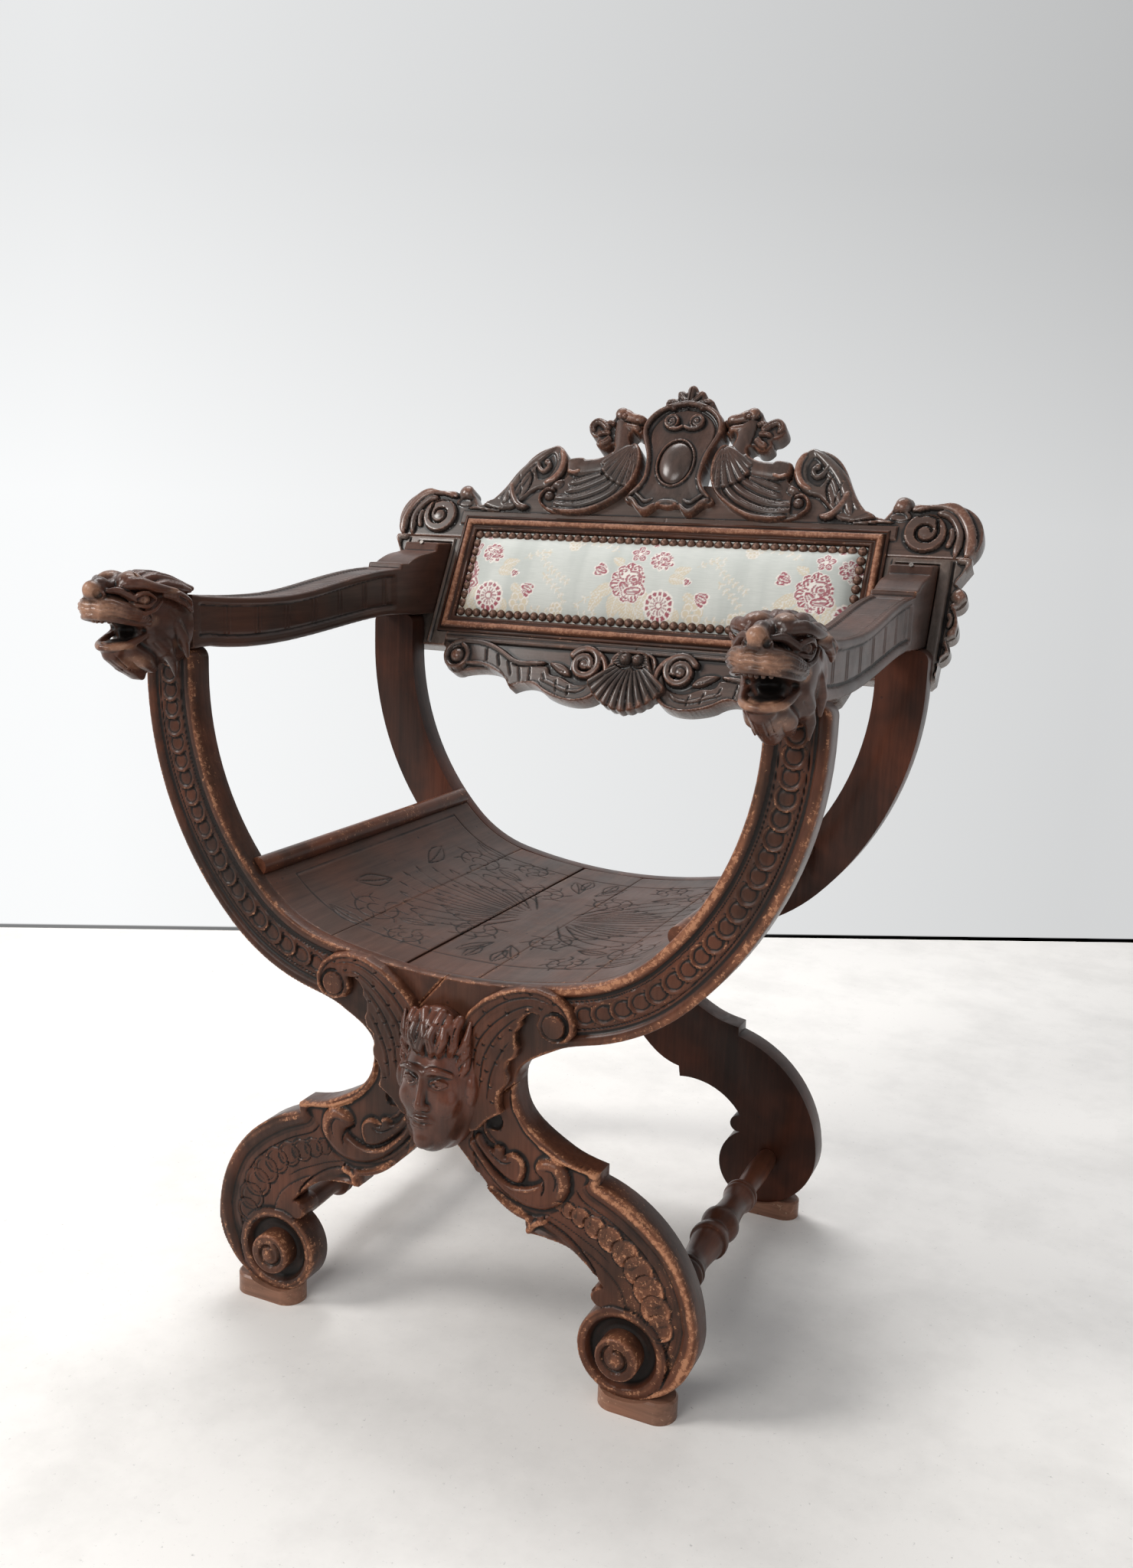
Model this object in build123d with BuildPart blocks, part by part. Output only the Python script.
from build123d import *
import os
from math import cos, degrees, radians, sin, tan

# X-frame armchair of carved walnut: two bow frames joined by a plank seat, two
# turned stretchers and two arms, with a raked back. Millimetres, +Z up, the
# sitter faces -Y. The origin is on the floor under the middle of the chair.

# ---- Driving dimensions: bow frames ----
frame_depth = 465.0  # front of the front frame to back of the rear frame
frame_thickness = 30.0
middle_y = -37.0  # middle plane between the two frames
member_width = 57.0
seat_low_z = 401.0  # lowest point of the bow's inner edge
low_radius = 620.0
low_angle = 13.0
haunch_radius = 150.0
haunch_angle = 45.0
side_radius = 302.0
front_upright_top = 697.0
rear_upright_top = 709.0
upright_round = 12.0

# ---- Driving dimensions: crossing and scrolled legs ----
waist_half = 79.0
waist_z = 308.0
crotch_z = 243.0
step_x = 168.5
step_z = 236.0
step_drop = 11.0
scroll_side_x = 273.5
scroll_side_z = 100.0
volute_x = 199.5
volute_z = 61.0
volute_radius = 46.0
beak_x = 96.0
beak_z = 158.0
beak_drop = 13.0
mask_top = 382.0
mask_chin = 229.0
mask_half_width = 46.0
mask_brow_z = 331.0
mask_depth = 44.0
nose_half_width = 9.0
wing_thickness = 9.0
wing_boss_x = 123.0
wing_boss_z = 378.0
wing_boss_radius = 15.0
button_radius = 22.0
button_height = 14.0
pad_height = 22.0
pad_length = 80.0
pad_depth = 38.0
pad_chamfer = 2.0
pad_x = 214.0

# ---- Driving dimensions: seat ----
board_thickness = 13.0
rebate_depth = 14.0
seat_gap = 0.3
seat_joints = [-140.0, -51.0, 29.0, 137.0]
joint_gap = 0.4
open_joint = 3.0  # the joint that has shrunk open
seat_end_angle = 48.0
nosing_thickness = 20.0
nosing_depth = 18.0
nosing_rise = 9.0

# ---- Driving dimensions: stretchers ----
stretcher_x = 215.0
stretcher_z = 76.0
stretcher_tenon = 15.0
tenon_radius = 9.0
shaft_length = 128.0
shaft_radius = 13.5
neck_radius = 10.5
collar_radius = 18.0
collar_length = 14.0
bulb_radius = 17.0
fit_gap = 0.1

# ---- Driving dimensions: arms and heads ----
arm_centre_x = 320.0
arm_width = 50.0
arm_sag = 5.0  # how far the underside hangs below the front upright's top
arm_front_height = 54.0  # above the front upright
arm_low_height = 47.5
arm_rear_height = 60.0  # above the rear upright
arm_block_height = 91.0
arm_rise_y = 165.0
arm_dowel_offset = 2.0  # outwards of the arm's middle
head_reach = 112.0  # nose in front of the frame's face
head_rise = 25.0  # above the arm
beard_drop = 29.0  # below the front upright's top
head_offset = 3.0  # outwards of the arm's middle
head_width = 72.0
muzzle_width = 52.0
dowel_radius = 6.0
dowel_length = 44.0
screw_radius = 2.5
screw_length = 60.0
screw_head_radius = 5.0
screw_head_height = 3.5
screw_head_depth = 4.0

# ---- Driving dimensions: back ----
back_rake = 26.8  # lean of the back from upright, degrees
back_ref_z = 840.0  # height of the back's datum on its front face
back_ref_y = 314.8  # its distance behind the middle plane
back_thickness = 24.0
moulding_gap = 14.0  # between the panel's mouldings and the arms
moulding_top = -8.0
moulding_bottom = -160.0
moulding_width = 22.0
moulding_height = 8.0
moulding_base = 5.0
bead_inset = 9.0
bead_width = 9.0
moulding_lap = 12.0
stile_outer_x = 358.0
stile_top = -36.0
stile_foot = -190.0
stile_leaf = 23.0  # how far the carved edge stands out beyond the stile
plate_inner_x = 291.0
plate_height = 3.0
crest_end_x = 383.0
crest_shoulder_x = 345.0
crest_shoulder_s = 33.0
crest_volute_x = 326.0
crest_volute_s = -2.0
crest_volute_radius = 28.0
crest_relief = 7.0  # volutes and leaves in front of the board
crest_ball_x = 294.0
crest_ball_s = 30.0
crest_ball_radius = 11.0
crest_valley_x = 272.0
crest_valley_s = 13.0
leaf_peak_x = 172.0
leaf_peak_s = 103.0
crest_middle_s = 50.0  # top of the board behind griffins and cartouche
griffin_thickness = 14.0
griffin_head_s = 156.0
griffin_beak_x = 56.0
cartouche_thickness = 22.0
cartouche_half_width = 47.0
cartouche_low = 10.0
cartouche_oval_s = 78.0
finial_top = 187.0
back_dowel_radius = 5.0
back_dowel_length = 50.0
apron_volute_inset = 25.0  # its eye inside the panel's end
apron_volute_s = -200.0
apron_volute_radius = 20.0
apron_scroll_x = 63.0
apron_scroll_s = -198.0
apron_scroll_radius = 22.0
apron_relief = 7.0
shell_top = -181.0
shell_bottom = -257.0
shell_half_width = 39.0
shell_thickness = 17.0
panel_thickness = 10.0
pad_border = 13.0
pad_crown = 13.0
pad_flange = 2.0
pad_taper = 45.0
nail_radius = 5.6
nail_pitch = 12.7
nail_dome = 3.4
nail_taper = 40.0
nail_shank = 0.9
nail_shank_length = 8.0

# ---- Places that follow from the dimensions above ----
front_face_y = middle_y - frame_depth / 2
front_inner_y = front_face_y + frame_thickness
rear_face_y = middle_y + frame_depth / 2
rear_inner_y = rear_face_y - frame_thickness
arm_low_z = front_upright_top - arm_sag
arm_top_front = front_upright_top + arm_front_height
arm_top_low = front_upright_top + arm_low_height
arm_top_rear = rear_upright_top + arm_rear_height
arm_block_top = rear_upright_top + arm_block_height
head_top = arm_top_front + head_rise
head_chin = front_upright_top - beard_drop
arm_dowel_x = arm_centre_x + arm_dowel_offset
head_centre_x = arm_centre_x + head_offset
moulding_half_width = arm_centre_x - arm_width / 2 - moulding_gap


SIDES = {"left": -1, "right": 1}


def polar(centre, radius, angle):
    """Point on a circle, its angle measured from straight down towards +X."""
    return (
        centre[0] + radius * sin(radians(angle)),
        centre[1] - radius * cos(radians(angle)),
    )


low_centre = (0.0, seat_low_z + low_radius)
haunch_centre = polar(low_centre, low_radius - haunch_radius, low_angle)
side_centre = polar(haunch_centre, haunch_radius - side_radius, haunch_angle)
inner_x = side_centre[0] + side_radius
outer_x = inner_x + member_width


def bow_arcs(offset, end_angle):
    """Arcs of the right half of the bow, top first: centre, radius, angles."""
    return [
        (side_centre, side_radius + offset, end_angle, haunch_angle),
        (haunch_centre, haunch_radius + offset, haunch_angle, low_angle),
        (low_centre, low_radius + offset, low_angle, 0.0),
    ]


def arc_points(centre, radius, start, stop):
    """Start, middle and end of an arc."""
    return [polar(centre, radius, a) for a in (start, (start + stop) / 2, stop)]


def upright_plane(y):
    """Plane across the chair at depth y, its normal towards the front."""
    return Plane.XZ.offset(-y)


# ---- Bow member: an upright and half bow on one side, a scrolled leg on the other ----
def on_side(sign, *points):
    """The same points on the right (1) or left (-1) of the chair."""
    return [(sign * x, z) for x, z in points]


def member_outline(upright_top, sign):
    with BuildSketch() as outline:
        with BuildLine():
            inner_top, inner_spring = (inner_x, upright_top), (inner_x, side_centre[1])
            Line(*on_side(sign, inner_top, inner_spring))
            for arc in bow_arcs(0.0, 90.0):
                ThreePointArc(*on_side(sign, *arc_points(*arc)))
            # shoulder of the half lap, down to the waist
            waist = (-waist_half, waist_z)
            Line(*on_side(sign, (0, seat_low_z), waist))
            # upper edge of the leg, waist to step
            step = (-step_x, step_z)
            hollow = (-(waist_half + step_x) / 2, step_z + 14)
            Spline(
                *on_side(sign, waist, (-waist_half - 10, waist_z - 33), hollow, step),
                tangents=on_side(sign, (0, -1), (-1, -0.15)),
            )
            drop = (-step_x, step_z - step_drop)
            Line(*on_side(sign, step, drop))
            # back of the scroll, step to floor side
            side = (-scroll_side_x, scroll_side_z)
            ThreePointArc(*on_side(sign, drop, (-(step_x + 82), step_z - 70), side))
            low = (-volute_x, volute_z - volute_radius)
            ThreePointArc(*on_side(sign, side, (-(volute_x + 55), volute_z - 22), low))
            # eye of the scroll and the bead where the inner edge meets it
            volute = (-volute_x, volute_z)
            bead = polar(volute, volute_radius, 152.0)
            ThreePointArc(*on_side(sign, low, polar(volute, volute_radius, 76.0), bead))
            bead_top = (bead[0], bead[1] + 20)
            ThreePointArc(*on_side(sign, bead, (bead[0] + 13, bead[1] + 9), bead_top))
            # inner edge of the leg with its beak
            beak = (-beak_x, beak_z)
            ThreePointArc(*on_side(sign, bead_top, (-(beak_x + 52), beak_z - 9), beak))
            beak_top = (-beak_x + 2, beak_z + beak_drop)
            Line(*on_side(sign, beak, beak_top))
            under = (-beak_x * 0.58, beak_z + 33)
            crotch = (0, crotch_z)
            Spline(*on_side(sign, beak_top, under, (-beak_x * 0.25, crotch_z - 19), crotch))
            # lower shoulder of the half lap, up to the other waist
            far_waist = (waist_half, waist_z)
            Line(*on_side(sign, crotch, far_waist))
            bow_start = polar(low_centre, low_radius + member_width, low_angle)
            slope = (cos(radians(low_angle)), sin(radians(low_angle)))
            turn, bend = (waist_half + 4, waist_z + 16), (waist_half + 36, waist_z + 39)
            Spline(
                *on_side(sign, far_waist, turn, bend, bow_start),
                tangents=on_side(sign, (0, 1), slope),
            )
            for arc in bow_arcs(member_width, 90.0)[:2]:
                ThreePointArc(*on_side(sign, *arc_points(*arc)))
            outer_top, outer_spring = (outer_x, upright_top), (outer_x, side_centre[1])
            Line(*on_side(sign, outer_spring, outer_top))
            Line(*on_side(sign, outer_top, inner_top))
        make_face()
        straight = upright_top - side_centre[1]
        corner = min(upright_round, 0.9 * straight)
        fillet(outline.vertices().group_by(Axis.Y)[-1], radius=corner)
    return outline.sketch


def lap_outline(member, mirrored_member):
    """What the two members of a frame share: the half-lapped crossing."""
    with BuildSketch() as lap:
        add(member)
        add(mirrored_member, mode=Mode.INTERSECT)
    return lap.sketch


front_outlines = {side: member_outline(front_upright_top, sign) for side, sign in SIDES.items()}
rear_outlines = {side: member_outline(rear_upright_top, sign) for side, sign in SIDES.items()}
lap = lap_outline(front_outlines["right"], front_outlines["left"])


# ---- Seat profile: boards and nosings, seen from the front ----
def seat_strip(top, bottom):
    """Region between two offsets of the bow's inner edge, both halves."""
    with BuildSketch() as strip:
        with BuildLine():
            for arc in bow_arcs(top, seat_end_angle):
                ThreePointArc(*arc_points(*arc))
            Line((0, seat_low_z - top), (0, seat_low_z - bottom))
            for arc in bow_arcs(bottom, seat_end_angle):
                ThreePointArc(*arc_points(*arc))
            Line(
                polar(side_centre, side_radius + top, seat_end_angle),
                polar(side_centre, side_radius + bottom, seat_end_angle),
            )
        make_face()
        mirror(about=Plane.YZ)
    return strip.sketch


nosing_angle = seat_end_angle + degrees((nosing_thickness / 2 + seat_gap) / side_radius)
nosing_length = nosing_rise + nosing_depth
nosing_middle = polar(side_centre, side_radius + nosing_depth - nosing_length / 2, nosing_angle)


def nosing_outline(side, gap):
    """Round-edged strip across the bow, standing proud of the boards."""
    with BuildSketch() as nosing:
        with Locations((side * nosing_middle[0], nosing_middle[1])):
            SlotOverall(
                nosing_length + 2 * gap,
                nosing_thickness + 2 * gap,
                rotation=side * nosing_angle - 90,
            )
    return nosing.sketch


seat_outline = seat_strip(0.0, board_thickness)
nosing_outlines = {"left": nosing_outline(-1, 0.0), "right": nosing_outline(1, 0.0)}

with BuildSketch() as rebate_profile:
    add(seat_strip(-board_thickness, board_thickness + seat_gap))
    add(nosing_outline(-1, seat_gap))
    add(nosing_outline(1, seat_gap))
rebate_outline = rebate_profile.sketch

# ---- Front and rear frames ----
peg_places = [(0.0, waist_z + waist_half * 0.45), (0.0, waist_z - waist_half * 0.3)]
frames = {
    "front": (front_inner_y, front_outlines, front_inner_y, front_upright_top, front_inner_y),
    "rear": (
        rear_face_y,
        rear_outlines,
        rear_inner_y + rebate_depth,
        rear_upright_top,
        rear_inner_y + stretcher_tenon,
    ),
}
for place, (back_y, outlines, rebate_y, upright_top, tenon_y) in frames.items():
    mid_y = back_y - frame_thickness / 2
    for side, sign in SIDES.items():
        # the right member is in front in the half lap
        lap_y = back_y if side == "right" else mid_y
        with BuildPart() as member:
            with BuildSketch(upright_plane(back_y)):
                add(outlines[side])
            extrude(amount=frame_thickness)
            with BuildSketch(upright_plane(lap_y)):
                add(lap)
            extrude(amount=frame_thickness / 2, mode=Mode.SUBTRACT)
            # rebate for the ends of the seat boards
            with BuildSketch(upright_plane(rebate_y)):
                add(rebate_outline)
            extrude(amount=rebate_depth, mode=Mode.SUBTRACT)
            # pegs of the lap, dowel of the arm, tenon of the stretcher
            with BuildSketch(upright_plane(back_y)):
                with Locations(*peg_places):
                    Circle(dowel_radius + fit_gap)
            extrude(amount=frame_thickness, mode=Mode.SUBTRACT)
            with BuildSketch(Plane.XY.offset(upright_top)):
                with Locations((sign * arm_dowel_x, mid_y)):
                    Circle(dowel_radius + fit_gap)
            extrude(amount=-dowel_length / 2 - fit_gap, mode=Mode.SUBTRACT)
            with BuildSketch(upright_plane(tenon_y)):
                with Locations((-sign * stretcher_x, stretcher_z)):
                    Circle(tenon_radius + fit_gap)
            extrude(amount=stretcher_tenon, mode=Mode.SUBTRACT)
        member.part.label = f"{place}_member_{side}"
        export_step(member.part, f"parts/{place}_member_{side}.step")

with BuildPart() as lap_pegs:
    for back_y in (front_inner_y, rear_face_y):
        with BuildSketch(upright_plane(back_y)):
            with Locations(*peg_places):
                Circle(dowel_radius)
        extrude(amount=frame_thickness)
lap_pegs.part.label = "lap_pegs"
export_step(lap_pegs.part, "parts/lap_pegs.step")

# ---- Foot pads: soles under the scrolls, hollowed to the scroll's curve ----
for place, (back_y, outlines, *unused) in frames.items():
    pad_mid_y = back_y - frame_thickness / 2
    for side, sign in SIDES.items():
        # the scroll on this side belongs to the member of the other side
        scroll = outlines["left" if side == "right" else "right"]
        with BuildPart() as pad:
            with BuildSketch(Plane.XY):
                with Locations((sign * pad_x, pad_mid_y)):
                    SlotOverall(pad_length, pad_depth)
            extrude(amount=pad_height)
            chamfer(pad.edges().group_by(Axis.Z)[-1], length=pad_chamfer)
            with BuildSketch(upright_plane(pad_mid_y + pad_depth)):
                add(scroll)
            extrude(amount=2 * pad_depth, mode=Mode.SUBTRACT)
        pad.part.label = f"foot_pad_{place}_{side}"
        export_step(pad.part, f"parts/foot_pad_{place}_{side}.step")

# ---- Round buttons in the eyes of the front scrolls ----
for side, sign in SIDES.items():
    with BuildPart() as button:
        with BuildSketch(upright_plane(front_face_y)):
            with Locations((sign * volute_x, volute_z)):
                Circle(button_radius)
        extrude(amount=button_height, taper=6)
        fillet(button.edges().group_by(Axis.Y)[0], radius=2.5)
    button.part.label = f"foot_button_{side}"
    export_step(button.part, f"parts/foot_button_{side}.step")

# ---- Turned stretchers between the frames, their tenons in the scrolls ----
half_span = (rear_inner_y - front_inner_y) / 2
shaft_profile = [
    (neck_radius + 1.5, half_span - shaft_length),
    (shaft_radius, half_span - shaft_length * 0.5),
    (shaft_radius - 1.0, half_span - shaft_length * 0.1),
    (tenon_radius + 2, half_span),
]
collar_start = half_span - shaft_length - collar_length
tenon_end = half_span + stretcher_tenon - fit_gap
for side, sign in SIDES.items():
    middle = (sign * stretcher_x, (front_inner_y + rear_inner_y) / 2, stretcher_z)
    with BuildPart() as stretcher:
        with BuildSketch(Plane(origin=middle, x_dir=(1, 0, 0), z_dir=(0, 0, 1))):
            with BuildLine():
                # centre bulb, neck, collar, long shaft, tenon
                neck_end = (neck_radius, collar_start)
                Line((0, 0), (bulb_radius, 0))
                Spline(
                    (bulb_radius, 0),
                    (bulb_radius - 1.5, collar_start * 0.5),
                    neck_end,
                    tangents=[(0, 1), (-0.1, 1)],
                )
                collar_base = neck_radius + 1.5
                Line(neck_end, (collar_base, collar_start))
                ThreePointArc(
                    (collar_base, collar_start),
                    (collar_radius, collar_start + collar_length / 2),
                    shaft_profile[0],
                )
                Spline(*shaft_profile)
                Line(shaft_profile[-1], (tenon_radius, half_span))
                Line((tenon_radius, half_span), (tenon_radius, tenon_end))
                Line((tenon_radius, tenon_end), (0, tenon_end))
                Line((0, tenon_end), (0, 0))
            make_face()
        revolve(axis=Axis(middle, (0, 1, 0)))
        mirror(about=Plane.XZ.offset(-middle[1]))
    stretcher.part.label = f"stretcher_{side}"
    export_step(stretcher.part, f"parts/stretcher_{side}.step")

# ---- Seat boards, let into the rebates of both frames ----
board_front_y = front_inner_y - rebate_depth + seat_gap
board_back_y = rear_inner_y + rebate_depth - seat_gap
seat_reach = outer_x
edges = [-seat_reach] + seat_joints + [seat_reach]
open_joint_index = 1
for number in range(len(seat_joints) + 1):
    left_gap = open_joint if number - 1 == open_joint_index else joint_gap
    right_gap = open_joint if number == open_joint_index else joint_gap
    left = edges[number] + left_gap / 2
    right = edges[number + 1] - right_gap / 2
    with BuildPart() as board:
        with BuildSketch(upright_plane(board_back_y)):
            add(seat_outline)
            with Locations(((left + right) / 2, seat_low_z + board_thickness)):
                Rectangle(right - left, 4 * board_thickness + seat_low_z, mode=Mode.INTERSECT)
        extrude(amount=board_back_y - board_front_y)
    board.part.label = f"seat_board_{number + 1}"
    export_step(board.part, f"parts/seat_board_{number + 1}.step")

for side, outline in nosing_outlines.items():
    with BuildPart() as nosing:
        with BuildSketch(upright_plane(board_back_y)):
            add(outline)
        extrude(amount=board_back_y - board_front_y)
    nosing.part.label = f"seat_nosing_{side}"
    export_step(nosing.part, f"parts/seat_nosing_{side}.step")

# ---- Arms: S-curved rails on the uprights, butted against the back's stiles ----
rake = radians(back_rake)


def back_plane(height):
    """Plane of the back, raised in front of its datum; local Y runs up the slope."""
    normal = (0, -cos(rake), sin(rake))
    datum = Vector(0, middle_y + back_ref_y, back_ref_z) + Vector(*normal) * height
    return Plane(origin=datum, x_dir=(1, 0, 0), z_dir=normal)


def back_y_at(z):
    """Depth of the back's front face at height z."""
    return middle_y + back_ref_y + (z - back_ref_z) * tan(rake)


def back_yz(s):
    """Depth and height of the middle of the back's boards, s up the slope."""
    point = back_plane(-back_thickness / 2).from_local_coords((0, s, 0))
    return point.Y, point.Z


arm_start_y = front_face_y
rise_y = middle_y + arm_rise_y
arm_end_top = (back_y_at(arm_block_top), arm_block_top)
arm_end_low = (back_y_at(rear_upright_top), rear_upright_top)
with BuildSketch() as arm_profile:
    with BuildLine():
        # underside: flat on both uprights, sagging between them
        Line((arm_start_y, front_upright_top), (front_inner_y, front_upright_top))
        Spline(
            (front_inner_y, front_upright_top),
            (middle_y - 130, arm_low_z),
            (middle_y + 10, (arm_low_z + rear_upright_top) / 2),
            (middle_y + 110, rear_upright_top + 1),
            (rear_inner_y, rear_upright_top),
        )
        Line((rear_inner_y, rear_upright_top), arm_end_low)
        Line(arm_end_low, arm_end_top)
        # stepped mouldings at the rear
        block_front = (rise_y + 92, arm_block_top)
        Line(arm_end_top, block_front)
        Line(block_front, (rise_y + 86, arm_block_top - 10))
        Line((rise_y + 86, arm_block_top - 10), (rise_y + 64, arm_block_top - 13))
        ThreePointArc(
            (rise_y + 64, arm_block_top - 13),
            (rise_y + 36, arm_top_rear + 13),
            (rise_y + 18, arm_top_rear + 6),
        )
        Line((rise_y + 18, arm_top_rear + 6), (rise_y + 2, arm_top_rear + 6))
        Line((rise_y + 2, arm_top_rear + 6), (rise_y, arm_top_rear))
        # top: a long S-curve
        Spline(
            (rise_y, arm_top_rear),
            (middle_y + 115, arm_top_rear - 2),
            (middle_y + 32, (arm_top_rear + arm_top_low) / 2),
            (middle_y - 50, arm_top_low + 1.5),
            (middle_y - 125, arm_top_low),
            (arm_start_y, arm_top_front),
        )
        Line((arm_start_y, arm_top_front), (arm_start_y, front_upright_top))
    make_face()
arm_outline = arm_profile.sketch

arm_dowel_places = [
    (front_inner_y - frame_thickness / 2, front_upright_top),
    (rear_face_y - frame_thickness / 2, rear_upright_top),
]
head_dowel_z = arm_top_front - 3 * dowel_radius
screw_heights = [-62.0, -112.0]
screw_places = [(sign * arm_centre_x, s) for sign in SIDES.values() for s in screw_heights]
for side, sign in SIDES.items():
    with BuildPart() as arm:
        with BuildSketch(Plane.YZ.offset(sign * arm_centre_x)):
            add(arm_outline)
        extrude(amount=arm_width / 2, both=True)
        for dowel_y, seat_z in arm_dowel_places:
            with BuildSketch(Plane.XY.offset(seat_z)):
                with Locations((sign * arm_dowel_x, dowel_y)):
                    Circle(dowel_radius + fit_gap)
            extrude(amount=dowel_length / 2 + fit_gap, mode=Mode.SUBTRACT)
        with BuildSketch(upright_plane(arm_start_y)):
            with Locations((sign * arm_centre_x, head_dowel_z)):
                Circle(dowel_radius + fit_gap)
        extrude(amount=-dowel_length / 2 - fit_gap, mode=Mode.SUBTRACT)
        with BuildSketch(back_plane(0.0)):
            with Locations(*[(sign * arm_centre_x, height) for height in screw_heights]):
                Circle(screw_radius + fit_gap)
        extrude(amount=screw_length - back_thickness + fit_gap, mode=Mode.SUBTRACT)
    arm.part.label = f"arm_{side}"
    export_step(arm.part, f"parts/arm_{side}.step")

with BuildPart() as arm_dowels:
    for dowel_y, seat_z in arm_dowel_places:
        with BuildSketch(Plane.XY.offset(seat_z - dowel_length / 2)):
            with Locations((-arm_dowel_x, dowel_y), (arm_dowel_x, dowel_y)):
                Circle(dowel_radius)
        extrude(amount=dowel_length)
arm_dowels.part.label = "arm_dowels"
export_step(arm_dowels.part, "parts/arm_dowels.step")

# ---- Beast heads: blocked-out carvings with open jaws, dowelled to arm and upright ----
nose_y = front_face_y - head_reach
with BuildSketch() as head_profile:
    with BuildLine():
        Polyline(
            (front_face_y, arm_top_front + 8),
            (front_face_y - 22, head_top - 4),
            (front_face_y - 58, head_top),
            (front_face_y - 88, head_top - 12),
            (front_face_y - 98, head_top - 17),
            (nose_y + 3, head_top - 14),
            (nose_y, head_top - 28),
            (nose_y + 5, head_top - 44),
            (front_face_y - 56, head_top - 60),
            (front_face_y - 62, head_top - 70),
            (front_face_y - 98, head_top - 69),
            (front_face_y - 98, head_top - 78),
            (front_face_y - 66, head_chin + 8),
            (front_face_y - 40, head_chin),
            (front_face_y, head_chin + 4),
            close=True,
        )
    make_face()
head_outline = head_profile.sketch

for side, sign in SIDES.items():
    with BuildPart() as head:
        with BuildSketch(Plane.YZ.offset(sign * head_centre_x)):
            add(head_outline)
        extrude(amount=head_width / 2, both=True)
        # plan: a broad mane narrowing to the muzzle
        with BuildSketch(Plane((sign * head_centre_x, front_face_y, 0))):
            with BuildLine():
                Polyline(
                    (0, 0),
                    (head_width * 0.42, 0),
                    (head_width / 2, -34),
                    (muzzle_width / 2, -62),
                    (muzzle_width / 2, 18 - head_reach),
                    (muzzle_width * 0.3, -head_reach),
                    (0, -head_reach),
                    close=True,
                )
            make_face()
            mirror(about=Plane.YZ)
        extrude(amount=head_top + 1, mode=Mode.INTERSECT)
        with BuildSketch(upright_plane(front_face_y)):
            with Locations((sign * arm_centre_x, head_dowel_z)):
                Circle(dowel_radius + fit_gap)
        extrude(amount=dowel_length / 2 + fit_gap, mode=Mode.SUBTRACT)
    head.part.label = f"lion_head_{side}"
    export_step(head.part, f"parts/lion_head_{side}.step")

with BuildPart() as head_dowels:
    with BuildSketch(upright_plane(front_face_y + dowel_length / 2)):
        with Locations((-arm_centre_x, head_dowel_z), (arm_centre_x, head_dowel_z)):
            Circle(dowel_radius)
    extrude(amount=dowel_length)
head_dowels.part.label = "head_dowels"
export_step(head_dowels.part, "parts/head_dowels.step")

# ---- Mask on the crossing, blocked out: hair, face, brow and nose ----
def mask_outline(gap):
    """Egg-shaped outline of the head, grown by a gap."""
    half = mask_half_width + gap
    chin, top = (0, mask_chin - gap), (0, mask_top + gap)
    jaw, cheek = (half * 0.74, mask_chin + 25), (half, mask_brow_z - 30)
    temple = (half * 0.8, mask_brow_z + 24)
    with BuildSketch() as outline:
        with BuildLine():
            for sign in SIDES.values():
                ThreePointArc(*on_side(sign, chin, jaw, cheek))
                ThreePointArc(*on_side(sign, cheek, temple, top))
        make_face()
    return outline.sketch


with BuildPart() as mask:
    with BuildSketch(upright_plane(front_face_y)):
        add(mask_outline(0.0))
    extrude(amount=mask_depth * 0.45)
    # face in front of the hair
    with BuildSketch(upright_plane(front_face_y - mask_depth * 0.45)):
        with Locations((0, (mask_chin + mask_brow_z) / 2 + 6)):
            Ellipse(mask_half_width * 0.68, (mask_brow_z - mask_chin) / 2 - 6)
    extrude(amount=mask_depth * 0.3)
    # nose, a wedge down the middle
    with BuildSketch(Plane.YZ):
        with BuildLine():
            Polyline(
                (front_face_y - 5, mask_brow_z - 2),
                (front_face_y - mask_depth * 0.78, mask_brow_z - 10),
                (front_face_y - mask_depth, mask_brow_z - 44),
                (front_face_y - 5, mask_brow_z - 48),
                close=True,
            )
        make_face()
    extrude(amount=nose_half_width, both=True)
mask.part.label = "mask"
export_step(mask.part, "parts/mask.step")

# ---- Carved wings beside the mask, each with a round boss at its shoulder ----
for side, sign in SIDES.items():
    with BuildPart() as wing:
        with BuildSketch(upright_plane(front_face_y)):
            with BuildLine():
                tip = (44, mask_chin + 27)
                shoulder = (52, wing_boss_z + 17)
                end = (wing_boss_x + 14, wing_boss_z - 10)
                Spline(
                    *on_side(
                        sign,
                        (20, wing_boss_z - 30),
                        shoulder,
                        (100, wing_boss_z + 34),
                        (wing_boss_x + 18, wing_boss_z + 14),
                        end,
                    )
                )
                under = (91, wing_boss_z - 3)
                Spline(*on_side(sign, end, (wing_boss_x - 2, wing_boss_z - 14), under))
                Spline(*on_side(sign, under, (80, wing_boss_z - 45), (64, mask_chin + 58), tip))
                Line(*on_side(sign, tip, (20, mask_chin + 32)))
                Line(*on_side(sign, (20, mask_chin + 32), (20, wing_boss_z - 30)))
            make_face()
            # the mask stands in front of the wing's root
            add(mask_outline(seat_gap), mode=Mode.SUBTRACT)
        extrude(amount=wing_thickness)
        with BuildSketch(upright_plane(front_face_y)):
            with Locations((sign * wing_boss_x, wing_boss_z)):
                Circle(wing_boss_radius)
        extrude(amount=wing_thickness + 3)
    wing.part.label = f"wing_{side}"
    export_step(wing.part, f"parts/wing_{side}.step")

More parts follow.
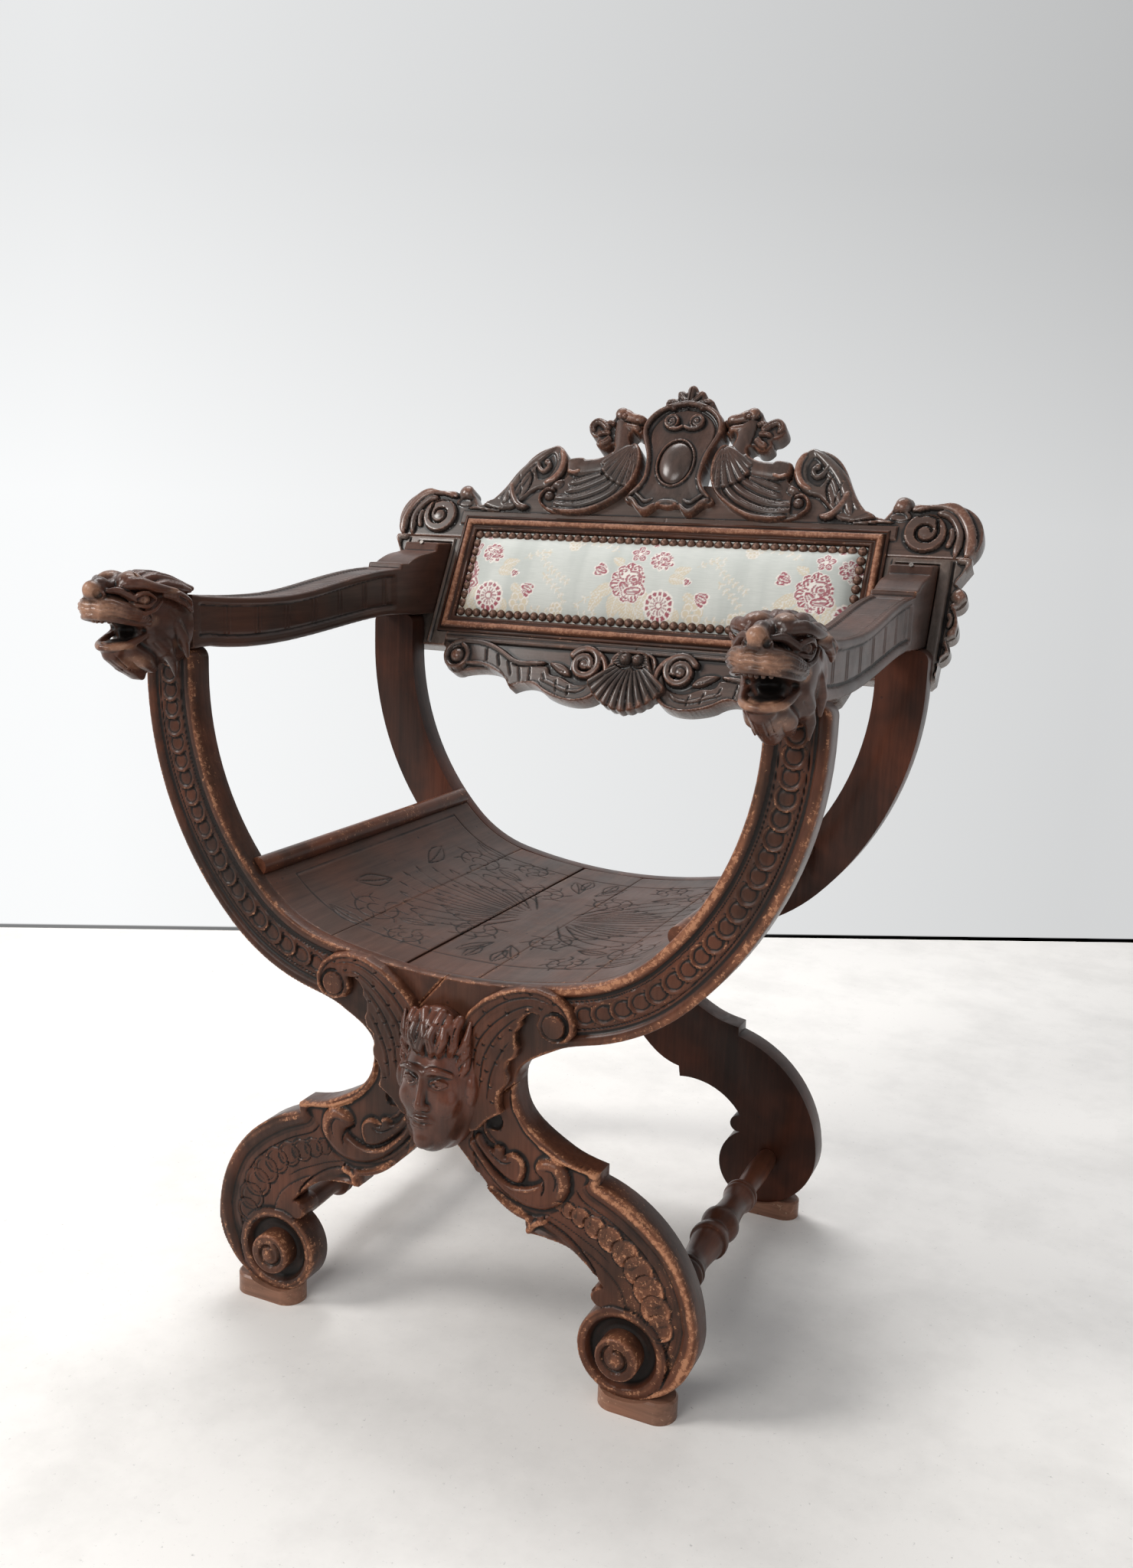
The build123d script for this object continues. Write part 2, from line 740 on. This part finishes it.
# ---- Back: outlines in the slope's own coordinates, x across and s up the slope ----
panel_half_width = moulding_half_width - moulding_lap
apron_volute_x = panel_half_width - apron_volute_inset
panel_top = moulding_top - moulding_lap
panel_bottom = moulding_bottom + moulding_lap
crest_dowel_x = [plate_inner_x, (plate_inner_x + stile_outer_x) / 2 + 12]
apron_dowel_s = [panel_bottom - 9, panel_bottom - 25]


def cross_plane(s):
    """Plane square to the slope at distance s, through the middle of the boards."""
    middle = back_plane(-back_thickness / 2)
    return Plane(origin=middle.from_local_coords((0, s, 0)), x_dir=(1, 0, 0), z_dir=middle.y_dir)


def closed_outline(sign, points):
    with BuildSketch() as outline:
        with BuildLine():
            Polyline(*on_side(sign, *points), close=True)
        make_face()
    return outline.sketch


# winged beast: haunch, neck, head turned to the middle, wing in front
griffin_points = [
    (leaf_peak_x + 12, crest_valley_s + 22),
    (leaf_peak_x - 18, crest_middle_s + 8),
    (leaf_peak_x - 24, crest_middle_s + 34),
    (leaf_peak_x - 48, crest_middle_s + 31),
    (griffin_beak_x + 38, crest_middle_s + 42),
    (griffin_beak_x + 34, griffin_head_s - 50),
    (griffin_beak_x + 58, griffin_head_s - 50),
    (griffin_beak_x + 78, griffin_head_s - 24),
    (griffin_beak_x + 50, griffin_head_s - 15),
    (griffin_beak_x + 40, griffin_head_s),
    (griffin_beak_x, griffin_head_s - 12),
    (griffin_beak_x + 14, griffin_head_s - 30),
    (griffin_beak_x + 9, griffin_head_s - 52),
    (griffin_beak_x + 6, crest_middle_s + 12),
    (griffin_beak_x + 14, crest_valley_s + 18),
    (griffin_beak_x + 54, crest_valley_s - 4),
    (leaf_peak_x - 8, crest_valley_s - 6),
    (leaf_peak_x + 10, crest_valley_s + 6),
]
griffin_outlines = {side: closed_outline(sign, griffin_points) for side, sign in SIDES.items()}

# shield with shoulders, waist, curled foot and a leaf finial
half_cartouche = [
    (0, finial_top),
    (9, finial_top - 8),
    (14, finial_top - 16),
    (28, finial_top - 24),
    (cartouche_half_width - 18, finial_top - 32),
    (cartouche_half_width - 4, finial_top - 42),
    (cartouche_half_width, finial_top - 58),
    (cartouche_half_width - 6, cartouche_oval_s + 14),
    (cartouche_half_width - 5, cartouche_oval_s - 18),
    (cartouche_half_width + 5, cartouche_low + 26),
    (cartouche_half_width + 8, cartouche_low + 13),
    (cartouche_half_width - 13, cartouche_low),
    (cartouche_half_width - 24, cartouche_low + 11),
    (0, cartouche_low + 13),
]
cartouche_points = half_cartouche + [(-x, z) for x, z in reversed(half_cartouche[1:-1])]
cartouche_outline = closed_outline(1, cartouche_points)

# ---- Crest rail with volutes, balls and leaves ----
with BuildSketch() as crest_profile:
    with BuildLine():
        end_low = (crest_end_x - 8, stile_top)
        shoulder = (crest_shoulder_x, crest_shoulder_s)
        ball_side = (crest_ball_x + crest_ball_radius, crest_ball_s)
        ball_top = (crest_ball_x, crest_ball_s + crest_ball_radius)
        ball_inside = (crest_ball_x - crest_ball_radius, crest_ball_s)
        valley = (crest_valley_x, crest_valley_s)
        rise = (crest_valley_x - 28, crest_valley_s + 14)
        shoulder_leaf = (leaf_peak_x + 51, leaf_peak_s - 40)
        peak = (leaf_peak_x, leaf_peak_s)
        leaf_foot = (leaf_peak_x - 21, leaf_peak_s - 41)
        middle_end = (leaf_foot[0] - 8, crest_middle_s)
        Line((0, panel_top), (panel_half_width, panel_top))
        Line((panel_half_width, panel_top), (panel_half_width, stile_top))
        Line((panel_half_width, stile_top), end_low)
        ThreePointArc(end_low, (crest_end_x - 5, crest_volute_s + 22), shoulder)
        Spline(shoulder, (crest_ball_x + 28, crest_ball_s - 1), ball_side)
        ThreePointArc(ball_side, ball_top, ball_inside)
        Line(ball_inside, valley)
        Spline(valley, rise, shoulder_leaf, peak)
        Spline(peak, (leaf_peak_x - 18, leaf_peak_s - 20), leaf_foot)
        Line(leaf_foot, middle_end)
        Line(middle_end, (0, crest_middle_s))
        Line((0, crest_middle_s), (0, panel_top))
    make_face()
    mirror(about=Plane.YZ)
crest_outline = crest_profile.sketch

with BuildSketch() as leaf_profile:
    with BuildLine():
        leaf_low = (leaf_peak_x + 8, moulding_top + 14)
        Spline(valley, rise, shoulder_leaf, peak)
        Spline(peak, (leaf_peak_x - 18, leaf_peak_s - 20), leaf_foot)
        Spline(leaf_foot, (leaf_foot[0] + 6, crest_valley_s + 16), leaf_low)
        Spline(leaf_low, (leaf_peak_x + 50, crest_valley_s - 12), valley)
    make_face()
    mirror(about=Plane.YZ)
    for outline in griffin_outlines.values():
        add(outline, mode=Mode.SUBTRACT)
leaf_outline = leaf_profile.sketch

with BuildPart() as crest_rail:
    with BuildSketch(back_plane(0.0)):
        add(crest_outline)
    extrude(amount=-back_thickness)
    # volutes and balls at the ends, leaves beside the griffins, in relief
    with BuildSketch(back_plane(0.0)):
        with Locations((-crest_volute_x, crest_volute_s), (crest_volute_x, crest_volute_s)):
            Circle(crest_volute_radius)
        with Locations((-crest_ball_x, crest_ball_s), (crest_ball_x, crest_ball_s)):
            Circle(crest_ball_radius - 1)
        add(leaf_outline)
    extrude(amount=crest_relief)
    with BuildSketch(cross_plane(stile_top)):
        with Locations(*[(sign * x, 0) for sign in SIDES.values() for x in crest_dowel_x]):
            Circle(back_dowel_radius + fit_gap)
    extrude(amount=back_dowel_length / 2 + fit_gap, mode=Mode.SUBTRACT)
crest_rail.part.label = "crest_rail"
export_step(crest_rail.part, "parts/crest_rail.step")

# ---- Cartouche and griffins: lap over the crest rail and stand on its top edge ----
with BuildPart() as cartouche:
    with BuildSketch(back_plane(0.0)):
        add(cartouche_outline)
    extrude(amount=cartouche_thickness - 8)
    with BuildSketch(back_plane(cartouche_thickness - 8)):
        with Locations((0, cartouche_oval_s)):
            Ellipse(cartouche_half_width - 8, finial_top - 44 - cartouche_oval_s)
    extrude(amount=8, taper=30)
    with BuildSketch(back_plane(0.0)):
        add(cartouche_outline)
        add(crest_outline, mode=Mode.SUBTRACT)
    extrude(amount=4 - back_thickness)
cartouche.part.label = "cartouche"
export_step(cartouche.part, "parts/cartouche.step")

for side, outline in griffin_outlines.items():
    with BuildPart() as griffin:
        with BuildSketch(back_plane(0.0)):
            add(outline)
            add(cartouche_outline, mode=Mode.SUBTRACT)
        extrude(amount=griffin_thickness)
        with BuildSketch(back_plane(0.0)):
            add(outline)
            add(cartouche_outline, mode=Mode.SUBTRACT)
            add(crest_outline, mode=Mode.SUBTRACT)
        extrude(amount=4 - back_thickness)
    griffin.part.label = f"griffin_{side}"
    export_step(griffin.part, f"parts/griffin_{side}.step")

# ---- Stiles with a carved outer edge and a raised plate, screwed to the arms ----
edge = stile_outer_x
with BuildSketch() as stile_profile:
    with BuildLine():
        Polyline(
            (panel_half_width, stile_foot),
            (panel_half_width, stile_top),
            (edge + stile_leaf - 4, stile_top),
            (edge + stile_leaf, stile_top - 6),
            (edge + 8, stile_top - 32),
        )
        ThreePointArc(
            (edge + 8, stile_top - 32),
            (edge + stile_leaf, stile_top - 47),
            (edge + 10, stile_top - 61),
        )
        Spline(
            (edge + 10, stile_top - 61),
            (edge + 18, stile_top - 80),
            (edge + 17, stile_top - 93),
            (edge + 7, stile_top - 99),
        )
        ThreePointArc(
            (edge + 7, stile_top - 99),
            (edge + 13, stile_top - 114),
            (edge + 4, stile_top - 125),
        )
        Line((edge + 4, stile_top - 125), (edge + 3, stile_foot + 6))
        Line((edge + 3, stile_foot + 6), (edge - 2, stile_foot))
        Line((edge - 2, stile_foot), (panel_half_width, stile_foot))
    make_face()
stile_outlines = {
    "right": stile_profile.sketch,
    "left": mirror(stile_profile.sketch, about=Plane.YZ),
}

plate_middle_x = (plate_inner_x + stile_outer_x) / 2
plate_middle_s = (stile_top + stile_foot) / 2
plate_length = stile_top - stile_foot - 5
for side, sign in SIDES.items():
    with BuildPart() as stile:
        with BuildSketch(back_plane(0.0)):
            add(stile_outlines[side])
        extrude(amount=-back_thickness)
        # plate with ears at both ends, clear of the arm between them
        with BuildSketch(back_plane(0.0)):
            with Locations((sign * plate_middle_x, plate_middle_s)):
                Rectangle(stile_outer_x - plate_inner_x, plate_length)
            with Locations((sign * arm_centre_x, stile_foot)):
                Rectangle(
                    arm_width + 2 * seat_gap,
                    2 * ((arm_block_top - back_ref_z) / cos(rake) + seat_gap - stile_foot),
                    mode=Mode.SUBTRACT,
                )
        extrude(amount=plate_height)
        # notch that lets the foot stand against the back of the rear upright
        with BuildSketch(Plane.YZ):
            with Locations((rear_face_y - frame_thickness, rear_upright_top - back_thickness * 2)):
                Rectangle(2 * frame_thickness, back_thickness * 4)
        extrude(amount=sign * (edge + 2 * stile_leaf), mode=Mode.SUBTRACT)
        with BuildSketch(cross_plane(stile_top)):
            with Locations(*[(sign * x, 0) for x in crest_dowel_x]):
                Circle(back_dowel_radius + fit_gap)
        extrude(amount=-back_dowel_length / 2 - fit_gap, mode=Mode.SUBTRACT)
        with BuildSketch(Plane.YZ.offset(sign * panel_half_width)):
            with Locations(*[back_yz(height) for height in apron_dowel_s]):
                Circle(back_dowel_radius + fit_gap)
        extrude(amount=sign * (back_dowel_length / 2 + fit_gap), mode=Mode.SUBTRACT)
        # screw holes with sunk heads
        with BuildSketch(back_plane(-back_thickness)):
            with Locations(*[(sign * arm_centre_x, height) for height in screw_heights]):
                Circle(screw_radius + fit_gap)
        extrude(amount=back_thickness + plate_height, mode=Mode.SUBTRACT)
        with BuildSketch(back_plane(-back_thickness)):
            with Locations(*[(sign * arm_centre_x, height) for height in screw_heights]):
                Circle(screw_head_radius + fit_gap)
        extrude(amount=screw_head_depth, mode=Mode.SUBTRACT)
    stile.part.label = f"back_stile_{side}"
    export_step(stile.part, f"parts/back_stile_{side}.step")

# ---- Lower rail of the back: two C-scrolls and a shell between them ----
with BuildSketch() as apron_profile:
    with BuildLine():
        end_side = (panel_half_width, apron_volute_s + 16)
        volute_side = (apron_volute_x + 14, apron_volute_s - 14)
        volute_low = (apron_volute_x - 8, apron_volute_s - 18)
        middle_low = (shell_half_width - 5, apron_scroll_s - 29)
        Line((0, panel_bottom), (panel_half_width, panel_bottom))
        Line((panel_half_width, panel_bottom), end_side)
        ThreePointArc(end_side, (apron_volute_x + 20, apron_volute_s), volute_side)
        ThreePointArc(volute_side, (apron_volute_x + 4, apron_volute_s - 20), volute_low)
        notch = (apron_volute_x - 83, apron_volute_s - 36)
        cusp = (apron_volute_x - 132, apron_volute_s - 38)
        band_low = (apron_volute_x - 40, apron_volute_s - 13)
        Spline(volute_low, band_low, (apron_volute_x - 70, apron_volute_s - 20), notch)
        Spline(notch, (apron_volute_x - 118, apron_volute_s - 30), cusp)
        scroll_low = (apron_scroll_x + 8, apron_scroll_s - 49)
        Spline(cusp, scroll_low, (apron_scroll_x - 18, apron_scroll_s - 42), middle_low)
        Line(middle_low, (0, apron_scroll_s - 29))
        Line((0, apron_scroll_s - 29), (0, panel_bottom))
    make_face()
    mirror(about=Plane.YZ)
apron_outline = apron_profile.sketch

shell_points = [
    (0, shell_bottom),
    (shell_half_width * 0.62, shell_bottom + 6),
    (shell_half_width, shell_bottom + 19),
    (shell_half_width * 0.72, shell_top - 34),
    (shell_half_width * 0.42, shell_top - 14),
    (0, shell_top),
]
shell_points += [(-x, z) for x, z in reversed(shell_points[1:-1])]
shell_outline = closed_outline(1, shell_points)

with BuildPart() as apron_rail:
    with BuildSketch(back_plane(0.0)):
        add(apron_outline)
    extrude(amount=-back_thickness)
    # volutes in relief
    with BuildSketch(back_plane(0.0)):
        for sign in SIDES.values():
            with Locations((sign * apron_volute_x, apron_volute_s)):
                Circle(apron_volute_radius - 2)
            with Locations((sign * apron_scroll_x, apron_scroll_s)):
                Circle(apron_scroll_radius)
        add(shell_outline, mode=Mode.SUBTRACT)
    extrude(amount=apron_relief)
    for sign in SIDES.values():
        with BuildSketch(Plane.YZ.offset(sign * panel_half_width)):
            with Locations(*[back_yz(height) for height in apron_dowel_s]):
                Circle(back_dowel_radius + fit_gap)
        extrude(amount=-sign * (back_dowel_length / 2 + fit_gap), mode=Mode.SUBTRACT)
apron_rail.part.label = "apron_rail"
export_step(apron_rail.part, "parts/apron_rail.step")

with BuildPart() as apron_shell:
    with BuildSketch(back_plane(0.0)):
        add(shell_outline)
    extrude(amount=shell_thickness, taper=12)
    with BuildSketch(back_plane(0.0)):
        add(shell_outline)
        add(apron_outline, mode=Mode.SUBTRACT)
    extrude(amount=-back_thickness / 2)
apron_shell.part.label = "apron_shell"
export_step(apron_shell.part, "parts/apron_shell.step")

# ---- Dowels of the back and screws into the arms ----
with BuildPart() as back_dowels:
    with BuildSketch(cross_plane(stile_top - back_dowel_length / 2)):
        with Locations(*[(sign * x, 0) for sign in SIDES.values() for x in crest_dowel_x]):
            Circle(back_dowel_radius)
    extrude(amount=back_dowel_length)
    for sign in SIDES.values():
        with BuildSketch(Plane.YZ.offset(sign * panel_half_width)):
            with Locations(*[back_yz(height) for height in apron_dowel_s]):
                Circle(back_dowel_radius)
        extrude(amount=back_dowel_length / 2, both=True)
back_dowels.part.label = "back_dowels"
export_step(back_dowels.part, "parts/back_dowels.step")

with BuildPart() as arm_screws:
    with BuildSketch(back_plane(screw_head_depth - back_thickness)):
        with Locations(*screw_places):
            Circle(screw_head_radius)
    extrude(amount=-screw_head_height)
    with BuildSketch(back_plane(screw_head_depth - back_thickness)):
        with Locations(*screw_places):
            Circle(screw_radius)
    extrude(amount=screw_length - screw_head_depth)
arm_screws.part.label = "arm_screws"
export_step(arm_screws.part, "parts/arm_screws.step")

# ---- Panel behind the upholstery and the mitred frame round it ----
panel_height = panel_top - panel_bottom
panel_middle_s = (panel_top + panel_bottom) / 2
opening_width = 2 * (moulding_half_width - moulding_width)
opening_height = moulding_top - moulding_bottom - 2 * moulding_width
nail_width = opening_width - pad_border
nail_height = opening_height - pad_border
across = round(nail_width / nail_pitch)
upwards = round(nail_height / nail_pitch)
nail_places = [
    (-nail_width / 2 + nail_width * column / across, panel_middle_s + row * nail_height / 2)
    for row in (-1, 1)
    for column in range(across + 1)
]
nail_places += [
    (column * nail_width / 2, panel_middle_s - nail_height / 2 + nail_height * row / upwards)
    for column in (-1, 1)
    for row in range(1, upwards)
]

with BuildPart() as backing_panel:
    with BuildSketch(back_plane(0.0)):
        with Locations((0, panel_middle_s)):
            Rectangle(2 * panel_half_width, panel_height)
        with Locations(*nail_places):
            Circle(nail_shank + fit_gap, mode=Mode.SUBTRACT)
    extrude(amount=-panel_thickness)
backing_panel.part.label = "backing_panel"
export_step(backing_panel.part, "parts/backing_panel.step")


def mitred_strip(half_width, half_height, inset, width):
    """Top and right strips of a frame, mitred at both ends, from its centre."""
    outer_x, outer_s = half_width - inset, half_height - inset
    inner_x, inner_s = outer_x - width, outer_s - width
    top = [(-outer_x, outer_s), (outer_x, outer_s), (inner_x, inner_s), (-inner_x, inner_s)]
    right = [(outer_x, outer_s), (outer_x, -outer_s), (inner_x, -inner_s), (inner_x, inner_s)]
    return top, right


frame_half_height = (moulding_top - moulding_bottom) / 2
base_strips = mitred_strip(moulding_half_width, frame_half_height, 0.0, moulding_width)
bead_strips = mitred_strip(moulding_half_width, frame_half_height, bead_inset, bead_width)
moulding_sides = {"top": (0, 1), "right": (1, 1), "bottom": (0, -1), "left": (1, -1)}
for side, (index, flip) in moulding_sides.items():
    with BuildPart() as moulding:
        for strips, height in ((base_strips, moulding_base), (bead_strips, moulding_height)):
            with BuildSketch(back_plane(0.0)):
                with BuildLine():
                    Polyline(
                        *[(flip * x, panel_middle_s + flip * z) for x, z in strips[index]],
                        close=True,
                    )
                make_face()
            extrude(amount=height)
    moulding.part.label = f"moulding_{side}"
    export_step(moulding.part, f"parts/moulding_{side}.step")

# ---- Upholstered pad and the dome-headed nails along its edge ----
pad_width = opening_width - 2 * seat_gap
pad_tall = opening_height - 2 * seat_gap
with BuildPart() as back_pad:
    with BuildSketch(back_plane(0.0)):
        with Locations((0, panel_middle_s)):
            Rectangle(pad_width, pad_tall)
        with Locations(*nail_places):
            Circle(nail_shank + fit_gap, mode=Mode.SUBTRACT)
    extrude(amount=pad_flange)
    with BuildSketch(back_plane(pad_flange)):
        with Locations((0, panel_middle_s)):
            RectangleRounded(pad_width - 2 * pad_border, pad_tall - 2 * pad_border, 8)
    extrude(amount=pad_crown - pad_flange, taper=pad_taper)
back_pad.part.label = "back_pad"
export_step(back_pad.part, "parts/back_pad.step")

with BuildPart() as upholstery_nails:
    with BuildSketch(back_plane(pad_flange)):
        with Locations(*nail_places):
            Circle(nail_radius)
    extrude(amount=nail_dome, taper=nail_taper)
    with BuildSketch(back_plane(pad_flange)):
        with Locations(*nail_places):
            Circle(nail_shank)
    extrude(amount=-nail_shank_length)
upholstery_nails.part.label = "upholstery_nails"
export_step(upholstery_nails.part, "parts/upholstery_nails.step")
